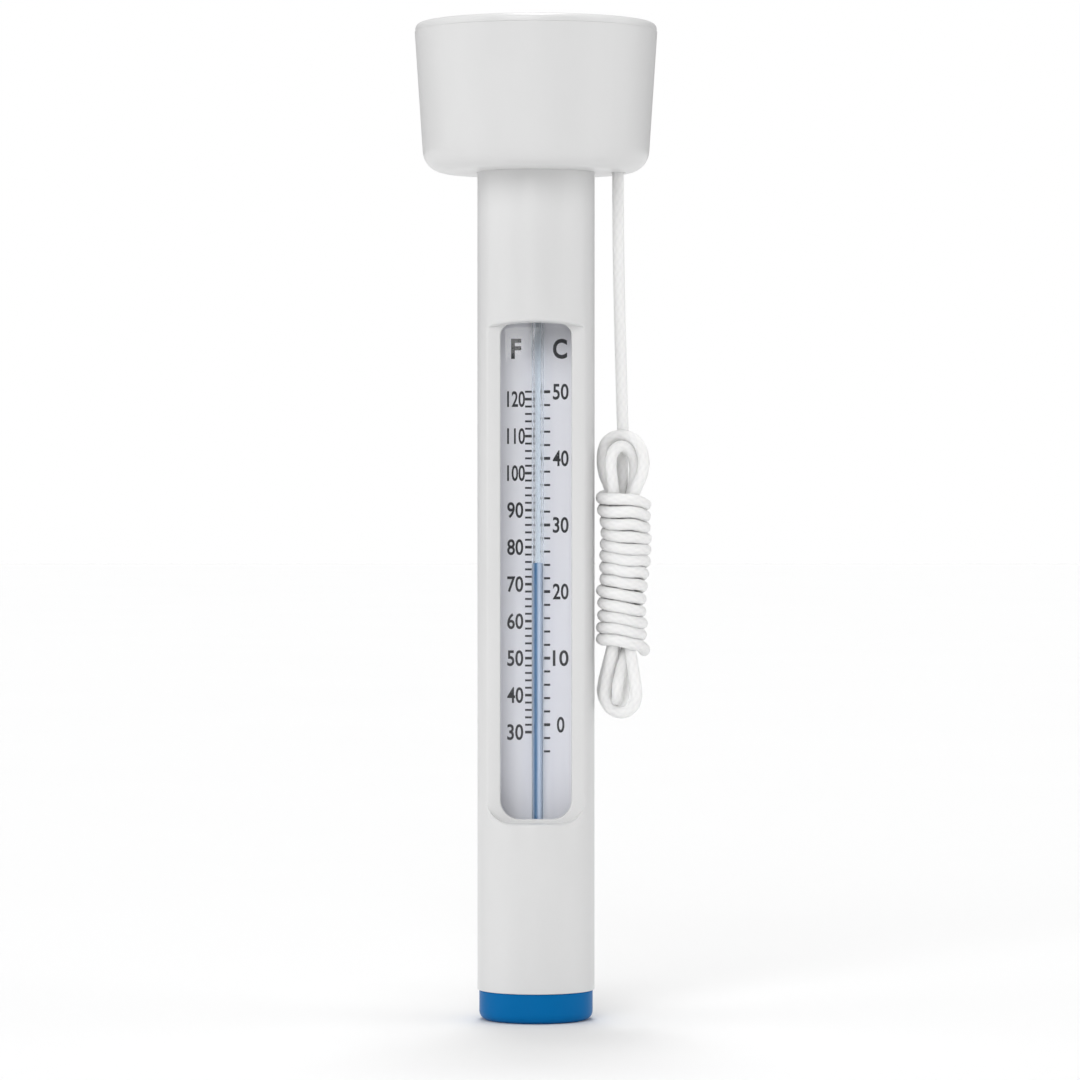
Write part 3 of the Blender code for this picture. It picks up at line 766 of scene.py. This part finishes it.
def outer_column(angle, bottom, top):
    """(distance from the axis, height) points up the outside of the tube at one angle from the front."""
    flat = skin(angle, TUBE_RADIUS, FLAT_FRONT, SIDE_EDGE)
    drop = TUBE_RADIUS - flat
    inner = min(INNER_EDGE, 0.45 * drop)
    facing = math.sin(min(abs(angle), math.pi / 2.0))
    quarter = [math.pi / 2.0 * k / 6 for k in range(7)]
    points = [(TUBE_RADIUS - END_EDGE * (1.0 - math.sin(t)), bottom + END_EDGE * (1.0 - math.cos(t)))
              for t in quarter]

    def ledge(edge, height_at, up):
        """The edge's rounding, the level ledge and the hollow rounding at the flat, from outside in."""
        made = []
        edge = min(edge, 0.45 * drop)
        for t in quarter:
            r = TUBE_RADIUS - edge * (1.0 - math.cos(t))
            made.append((r, height_at(r * facing) - up * edge * (1.0 - math.sin(t))))
        for t in quarter[::2]:
            r = flat + inner * (1.0 - math.sin(t))
            made.append((r, height_at(r * facing) + up * inner * (1.0 - math.cos(t))))
        return made

    foot, head = ledge(FOOT_EDGE, flat_foot, 1.0), ledge(HEAD_EDGE, flat_head, -1.0)
    points += [(TUBE_RADIUS, z) for z in spread(14, points[-1][1], foot[0][1])[:-1]]
    points += foot
    points += [(flat, z) for z in spread(44, foot[-1][1], head[-1][1])[:-1]]
    points += head[::-1]
    points += [(TUBE_RADIUS, z) for z in spread(18, head[0][1], top - END_EDGE)[:-1]]
    points += [(TUBE_RADIUS - END_EDGE * (1.0 - math.cos(t)), top - END_EDGE * (1.0 - math.sin(t)))
               for t in quarter]
    return points


def inner_column(angle, bottom, top):
    """The same down the inside, from the top end."""
    flat = skin(angle, BORE, FLAT_BACK, INSIDE_EDGE)
    low, high = FLAT_BOTTOM - 1.5 * MM, WINDOW_TOP + 1.5 * MM
    points = [(BORE, top), (BORE, high)]
    points += [(flat, z) for z in spread(12, high, low)]
    points.insert(2, (flat, high))
    return points + [(BORE, low), (BORE, bottom)]


def window_outline(half, bottom, top, small, large, crown):
    """(side, height) points round an opening: large corners below, small ones and an arched edge above."""
    arch = top - crown
    lift = math.sqrt((crown - small) ** 2 - (half - small) ** 2)
    meet = math.atan2(lift, half - small)

    def arc(side, height, radius, start, end, count):
        turns = [start + (end - start) * k / count for k in range(count + 1)]
        return [(side + radius * math.cos(t), height + radius * math.sin(t)) for t in turns]

    return (
        arc(half - large, bottom + large, large, -math.pi / 2.0, 0.0, CORNER_STEPS)
        + arc(half - small, arch + lift, small, 0.0, meet, CORNER_STEPS)
        + arc(0.0, arch, crown, meet, math.pi - meet, 2 * CORNER_STEPS)[1:-1]
        + arc(small - half, arch + lift, small, math.pi - meet, math.pi, CORNER_STEPS)
        + arc(large - half, bottom + large, large, math.pi, 1.5 * math.pi, CORNER_STEPS)
    )


def opening(grow, top_grow=0.0):
    """The window's outline, grown by a margin."""
    return window_outline(WINDOW_HALF + grow, WINDOW_BOTTOM - grow, WINDOW_TOP + top_grow, 2.0 * MM + grow,
                          3.3 * MM + grow, ARCH)


def section(outline, y):
    """The outline as points at one depth."""
    return [(side, y, height) for side, height in outline]


def tube_shell(bottom, top):
    """The tube with its flat, and the window cut through it with a rounded rim."""
    edge_zone = [53.5 + 0.8 * k for k in range(6)]  # closer columns where the flat meets the round
    even_turns = [3.0 * k for k in range(60) if not 52.5 < 3.0 * k < 58.5]
    half = [math.radians(degrees) for degrees in sorted(even_turns + edge_zone)]
    angles = half + [math.pi] + [-a for a in half[:0:-1]]
    columns = [outer_column(a, bottom, top) + inner_column(a, bottom, top) for a in angles]
    points = []
    for a, column in zip(angles, columns):
        points += [(r * math.sin(a), -r * math.cos(a), z) for r, z in column]
    tall, wide = len(columns[0]), len(columns)
    faces = []
    for i in range(wide):
        n = (i + 1) % wide
        for j in range(tall):
            k = (j + 1) % tall
            faces.append((i * tall + j, n * tall + j, n * tall + k, i * tall + k))
    shell = add("tube_shell", mesh_from("tube_shell", points, faces), white_plastic)
    sections = [section(opening(WINDOW_RIM), -TUBE_RADIUS - MM)]
    for k in range(6):
        t = math.pi / 2.0 * k / 5
        depth = -FLAT_FRONT + WINDOW_RIM * (1.0 - math.cos(t))
        sections.append(section(opening(WINDOW_RIM * (1.0 - math.sin(t))), depth))
    sections.append(section(opening(0.0), -FLAT_BACK + MM))
    cut(shell, lofted("window_cutter", sections))
    return shell


shell = tube_shell(CAP_HEIGHT + 2.0 * JOINT_GAP, TUBE_TOP)
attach(shell, "housing")
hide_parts("main_tube")


# ---------------------------------------------------------------- cap, float and lid

def flared_hole(target, radius, low, high, at, flare):
    """Drills a round hole whose two ends are eased."""
    line = [(0.0, low - MM), (radius + flare, low - MM), (radius + flare, low)]
    quarter = [math.pi / 2.0 * k / 4 for k in range(1, 5)]
    line += [(radius + flare * (1.0 - math.sin(t)), low + flare * (1.0 - math.cos(t))) for t in quarter]
    line += [(radius + flare * (1.0 - math.cos(t)), high - flare * (1.0 - math.sin(t))) for t in quarter]
    line += [(radius + flare, high), (radius + flare, high + MM), (0.0, high + MM)]
    cut(target, turned("drill", line, None, 32, at=at))


def end_cap():
    """Blue plug with a rounded foot, and three ports that let the water in to the bulb."""
    radius, height, spigot = CAP_RADIUS / MM, (CAP_HEIGHT + JOINT_GAP) / MM, CAP_SPIGOT_TOP / MM
    floor, wall, port, ports_at = 2.0, 1.4, 1.6, 4.6
    line = rounded([
        (0.0, floor, 0.0), (FIT - wall, floor, 0.5), (FIT - wall, spigot, 0.2), (FIT, spigot, 0.4),
        (FIT, height, 0.1), (radius, height, 0.18), (radius, 0.0, 1.5), (0.0, 0.0, 0.0),
    ])
    cap = turned("end_cap", line, blue_plastic)
    for k in range(3):
        a = math.radians(90.0 + 120.0 * k)
        at = (ports_at * MM * math.cos(a), ports_at * MM * math.sin(a))
        flared_hole(cap, port * MM, 0.0, floor * MM, at, 0.25 * MM)
    return cap


def float_shell():
    """Flared cup with a collar for the tube. Its wall, floor and collar are one moulding."""
    rim, top = RIM_RADIUS / MM, (LID_TOP - LID_EDGE_HEIGHT * MM - LID_GAP) / MM
    under, foot, wall, collar = FLOAT_UNDERSIDE / MM, FOOT_RADIUS / MM, FLOAT_WALL / MM, 11.5
    bore, collar_top = TUBE_RADIUS / MM + JOINT_GAP / MM, 156.0
    line = rounded([
        (rim - wall, top, 0.15), (rim, top, 0.06), (foot, under, FLOAT_CORNER / MM), (bore, under, 0.25),
        (bore, collar_top, 0.15), (collar, collar_top, 0.3), (collar, under + wall, 0.5),
        (foot - wall - 0.1, under + wall, FLOAT_CORNER / MM - wall),
    ], closed=True, steps=9)
    made = turned("float_shell", line, white_plastic, closed=True)
    flared_hole(made, 1.3 * MM, FLOAT_UNDERSIDE, FLOAT_UNDERSIDE + FLOAT_WALL, (CORD_X, 0.0), 0.3 * MM)
    return made


def lid():
    """Flat lid with a soft edge, a very slightly dished top and a spigot ring."""
    edge, top, foot = LID_EDGE / MM, LID_TOP / MM, LID_FOOT / MM
    seat, spigot, wall = top - LID_EDGE_HEIGHT, 18.75, 1.4
    line = rounded([
        (0.0, top - 0.12, 0.0), (edge - 3.4, top - 0.10, 2.0), (edge - 2.6, top, 1.0), (edge, top, 0.95),
        (edge, seat, 0.06), (spigot, seat, 0.1), (spigot, foot, 0.3), (spigot - wall, foot, 0.2),
        (spigot - wall, seat, 0.3), (0.0, seat, 0.0),
    ])
    return turned("lid", line, white_plastic)


for piece, nodes, slot in [
    (end_cap(), ["bottom_cap"], "blue_plastic"),
    (float_shell(), ["float_cup"], "white_plastic"),
    (lid(), ["float_lid"], "white_plastic"),
]:
    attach(piece, "housing")
    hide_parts(*nodes)


# ---------------------------------------------------------------- window, card, print and glass


def pane():
    """Clear pane: a plate behind the wall, and a land that stands in the window with an eased rim."""
    gap, step, ease = 0.3 * MM, -FLAT_BACK + 0.3 * MM, 0.2 * MM
    back, front = LENS_HIGH.y, LENS_LOW.y
    plate = window_outline(LENS_HIGH.x, LENS_LOW.z, LENS_HIGH.z, 0.5 * MM, 0.5 * MM, 1.0)
    sections = [section(plate, back), section(plate, step), section(opening(-gap, -gap), step)]
    for k in range(5):
        t = math.pi / 2.0 * k / 4
        inset = gap + ease * (1.0 - math.cos(t))
        sections.append(section(opening(-inset, -inset), front + ease * (1.0 - math.sin(t))))
    return lofted("window_pane", sections, clear_acrylic)


def card():
    """The card with its two cut corners and slightly eased edges."""
    half, cut_mm, ease = CARD_HIGH.x / MM, 1.2, 0.08
    low, high = CARD_LOW.z / MM, CARD_HIGH.z / MM

    def outline(inset):
        h, c = half - inset, cut_mm - 0.4 * inset
        return [(x * MM, z * MM) for x, z in [
            (-h, low + inset), (h, low + inset), (h, high - inset - c), (h - c, high - inset),
            (c - h, high - inset), (-h, high - inset - c)]]

    front, back = CARD_LOW.y, CARD_HIGH.y
    return lofted("dial_card", [
        section(outline(ease), front), section(outline(0.0), front + ease * MM),
        section(outline(0.0), back - ease * MM), section(outline(ease), back)], printed_card)


# The two scales, in mm: where their marks and figures lie
ZERO_C_HEIGHT = 50.26
MM_PER_DEGREE_C = 1.14
FIGURE_HEIGHT = 2.75
HEADING_HEIGHT = 3.45
HEADINGS_AT = 114.6
INK = 0.02 * MM


def height_of(celsius):
    """Height in mm of a temperature on the scales."""
    return ZERO_C_HEIGHT + MM_PER_DEGREE_C * celsius


def in_celsius(fahrenheit):
    return (fahrenheit - 32.0) / 1.8


def add_mark(shape, left, right, middle, thick):
    """A printed line, a very thin block on the card's face."""
    front = CARD_LOW.y - INK
    corners = [shape.verts.new((x * MM, y, (middle + z) * MM))
               for y in (front, CARD_LOW.y) for x, z in
               ((left, -thick / 2.0), (right, -thick / 2.0), (right, thick / 2.0), (left, thick / 2.0))]
    for face in ((0, 1, 2, 3), (7, 6, 5, 4), (0, 4, 5, 1), (1, 5, 6, 2), (2, 6, 7, 3), (3, 7, 4, 0)):
        shape.faces.new([corners[k] for k in face])


def add_figure(shape, text, middle_x, middle_z, height, width, weight=0.018):
    """Printed characters, fitted to a height and width in mm about their middle."""
    curve = bpy.data.curves.new("figure", "FONT")
    curve.body = text
    curve.extrude = 0.5
    curve.offset = weight
    curve.resolution_u = 4
    holder = bpy.data.objects.new("figure", curve)
    mesh = bpy.data.meshes.new_from_object(holder)
    bpy.data.objects.remove(holder)
    bpy.data.curves.remove(curve)
    low = [min(v.co[k] for v in mesh.vertices) for k in range(3)]
    high = [max(v.co[k] for v in mesh.vertices) for k in range(3)]
    for v in mesh.vertices:
        share = [(v.co[k] - low[k]) / (high[k] - low[k]) for k in range(3)]
        v.co = (
            (middle_x + (share[0] - 0.5) * width) * MM,
            CARD_LOW.y - INK * share[2],
            (middle_z + (share[1] - 0.5) * height) * MM,
        )
    shape.from_mesh(mesh)
    bpy.data.meshes.remove(mesh)


def dial_print():
    """Both scales: a mark every two degrees, a bolder one with its figure every ten."""
    shape = bmesh.new()
    for degrees in range(-4, 51, 2):
        major, height = degrees % 10 == 0, height_of(degrees)
        add_mark(shape, 1.38, 2.42, height, 0.50 if major else 0.36)
        if major:
            text = str(degrees)
            add_figure(shape, text, 4.22, height, FIGURE_HEIGHT, 2.70 if len(text) == 2 else 1.30)
    for degrees in range(30, 123, 2):
        major, height = degrees % 10 == 0, height_of(in_celsius(degrees))
        add_mark(shape, -1.88, -0.72, height, 0.46 if major else 0.34)
        if major:
            text = str(degrees)
            middle, wide = (-3.56, 2.75) if len(text) == 2 else (-3.42, 3.05)
            add_figure(shape, text, middle, height, FIGURE_HEIGHT, wide)
    add_figure(shape, "F", -3.40, HEADINGS_AT, HEADING_HEIGHT, 1.75, 0.03)
    add_figure(shape, "C", 4.10, HEADINGS_AT, HEADING_HEIGHT, 2.45, 0.03)
    drop_slivers(shape)
    bmesh.ops.recalc_face_normals(shape, faces=shape.faces)
    mesh = bpy.data.meshes.new("dial_print")
    shape.to_mesh(mesh)
    shape.free()
    return add("dial_print", mesh, black_ink)


def stem():
    """Glass rod with a fine bore, a bulb below and a rounded head."""
    outer, bulb = STEM_RADIUS / MM, BULB_RADIUS / MM
    foot, neck, head = BULB_FOOT / MM, BULB_TOP / MM, STEM_TOP / MM
    shoulder, inner, floor = neck - BULB_SHOULDER, bulb - BULB_WALL, foot + BULB_WALL
    line = rounded([
        (0.0, foot, 0.0), (bulb, foot, 2.4), (bulb, shoulder, 1.2), (outer, neck, 0.8),
        (outer, head, 0.5), (THREAD - FILM, head, 0.1), (THREAD - FILM, neck, 0.3),
        (inner, shoulder, 1.0), (inner, floor, 1.9), (0.0, floor, 0.0),
    ], steps=8)
    return turned("glass_tube", line, stem_glass, FINE, at=(STEM_X, 0.0))


def spirit():
    """The spirit in the bulb and the thread above it, with its hollow top."""
    bulb, foot = BULB_RADIUS / MM - BULB_WALL - FILM, BULB_FOOT / MM + BULB_WALL + FILM
    neck, top = BULB_TOP / MM, READING_TOP / MM
    line = rounded([
        (0.0, foot, 0.0), (bulb, foot, 1.9), (bulb, neck - BULB_SHOULDER, 1.0), (THREAD, neck, 0.3),
    ], steps=8)
    low, count = neck + 0.4, 90
    line += [(THREAD * MM, (low + (top - low) * k / count) * MM) for k in range(count + 1)]
    for share, sink in ((0.7, 0.10), (0.35, 0.16), (0.0, 0.18)):
        line.append((share * THREAD * MM, (top - sink) * MM))
    return turned("spirit_thread", line, blue_spirit, 24, at=(STEM_X, 0.0))


def overhand_knot():
    """The stopper above the float's floor: the cord's end, knotted and pulled tight."""
    middle = Vector((CORD_X, 0.0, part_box("cord_knot")[1].z - 2.5 * MM))
    line = []
    for k in range(91):
        t = 2.0 * math.pi * k / 90 * 0.97
        across = 1.25 + 0.62 * math.cos(1.5 * t)
        spot = Vector((across * math.cos(2.0 * t), across * math.sin(2.0 * t), 1.35 * math.sin(3.0 * t)))
        line.append(middle + spot * MM)
    line, length = even(line, CORD_STEP)
    return braided("stopper_knot", line, length, 0.78 * MM, white_cord)


pieces = [
    (pane(), ["window_lens"], "clear_acrylic"),
    (card(), ["scale_card"], "printed_card"),
    (dial_print(), [], "printed_card"),
    (stem(), ["glass_stem"], "stem_glass"),
]
for piece, nodes, slot in pieces:
    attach(piece, "housing")
    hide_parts(*nodes)

thread = spirit()
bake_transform(thread)
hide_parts("spirit_column", "bulb_spirit")

knot = overhand_knot()
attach(knot, "housing")
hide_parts("cord_knot")

# The inner parts keep their CAD shapes, with eased edges.
for name, finish in [
    ("ballast_ring", ballast_steel),
    ("lower_bung", grey_rubber),
    ("upper_bung", grey_rubber),
    ("stem_clip_lower", clip_nylon),
    ("stem_clip_upper", clip_nylon),
    ("tube_plug", white_plastic),
    ("float_foam", white_foam),
]:
    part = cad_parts[name]
    part.data.materials.clear()
    part.data.materials.append(finish)
    ease = part.modifiers.new("ease", "BEVEL")
    ease.width = 0.12 * MM
    ease.segments = 3
    ease.limit_method = "ANGLE"
    ease.angle_limit = math.radians(SHARP_DEG)
    ease.harden_normals = True


# ---------------------------------------------------------------- the tether

cord_line, cord_length = even(smooth([Vector(p) * MM for p in LEAD + [in_hank(*p) for p in hank_places()]]),
                              CORD_STEP)
tether = braided("tether_cord", cord_line, cord_length, CORD_RADIUS, white_cord)
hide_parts("cord_lead", "cord_hank")
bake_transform(tether)


# ---------------------------------------------------------------- camera, lights and floor

EYE = Vector((0.68, -837.0, 88.7)) * MM
LOOKS_AT = Vector((0.68, 0.0, 81.9)) * MM

camera = bpy.data.objects.new("camera", bpy.data.cameras.new("camera"))
bpy.context.scene.collection.objects.link(camera)
camera.location = EYE
camera.rotation_euler = (LOOKS_AT - EYE).to_track_quat("-Z", "Y").to_euler()
camera.data.lens = 163.3
camera.data.sensor_width = 36.0
camera.data.clip_start = 0.01
camera.data.clip_end = 100.0
bpy.context.scene.camera = camera


def soft_sun(name, azimuth_deg, height_deg, width_deg, strength):
    """A broad far light. Azimuth 0 is behind the camera, and 90 to the right."""
    lamp = bpy.data.lights.new(name, "SUN")
    lamp.energy = strength
    lamp.angle = math.radians(width_deg)
    made = bpy.data.objects.new(name, lamp)
    bpy.context.scene.collection.objects.link(made)
    a, e = math.radians(azimuth_deg), math.radians(height_deg)
    source = Vector((math.sin(a) * math.cos(e), -math.cos(a) * math.cos(e), math.sin(e)))
    made.rotation_euler = source.to_track_quat("Z", "Y").to_euler()
    return made


soft_sun("key", -14.0, 26.0, 36.0, 1.18)
soft_sun("left", -80.0, 14.0, 60.0, 0.88)
soft_sun("right", 80.0, 14.0, 60.0, 0.96)
# A strip of light overhead, stronger behind, which draws the soft shadow round the foot
for k in range(4):
    tilt = 14.0 - 12.0 * k
    soft_sun(f"strip_{k + 1}", 0.0 if tilt > 0.0 else 180.0, 90.0 - abs(tilt), 14.0, 0.34 + 0.10 * k)

# The room: even white light, a little stronger from the left, and plain white where the camera sees it
world = bpy.data.worlds.new("studio")
bpy.context.scene.world = world
world.use_nodes = True
tree = world.node_tree
tree.nodes.clear()
from_left = node(tree, "SeparateXYZ", {0: node(tree, "TexCoord").outputs["Generated"]}).outputs["X"]
ambient = ranged(tree, from_left, -1.0, 1.0, 0.285, 0.255)
seen = node(tree, "LightPath").outputs["Is Camera Ray"]
brightness = node(tree, "Mix", {0: seen, 2: ambient, 3: 1.0}).outputs[0]
sky = node(tree, "Background", {"Color": (1.0, 1.0, 1.0, 1.0), "Strength": brightness})
node(tree, "OutputWorld", {"Surface": sky.outputs[0]})
bpy.context.scene.view_settings.view_transform = "Standard"

floor_mesh = bpy.data.meshes.new("floor")
half_floor = 6.0
floor_mesh.from_pydata(
    [(-half_floor, -half_floor, 0.0), (half_floor, -half_floor, 0.0), (half_floor, half_floor, 0.0),
     (-half_floor, half_floor, 0.0)], [], [(0, 1, 2, 3)])
floor = add("floor", floor_mesh, sweep_paper("sweep_paper"))
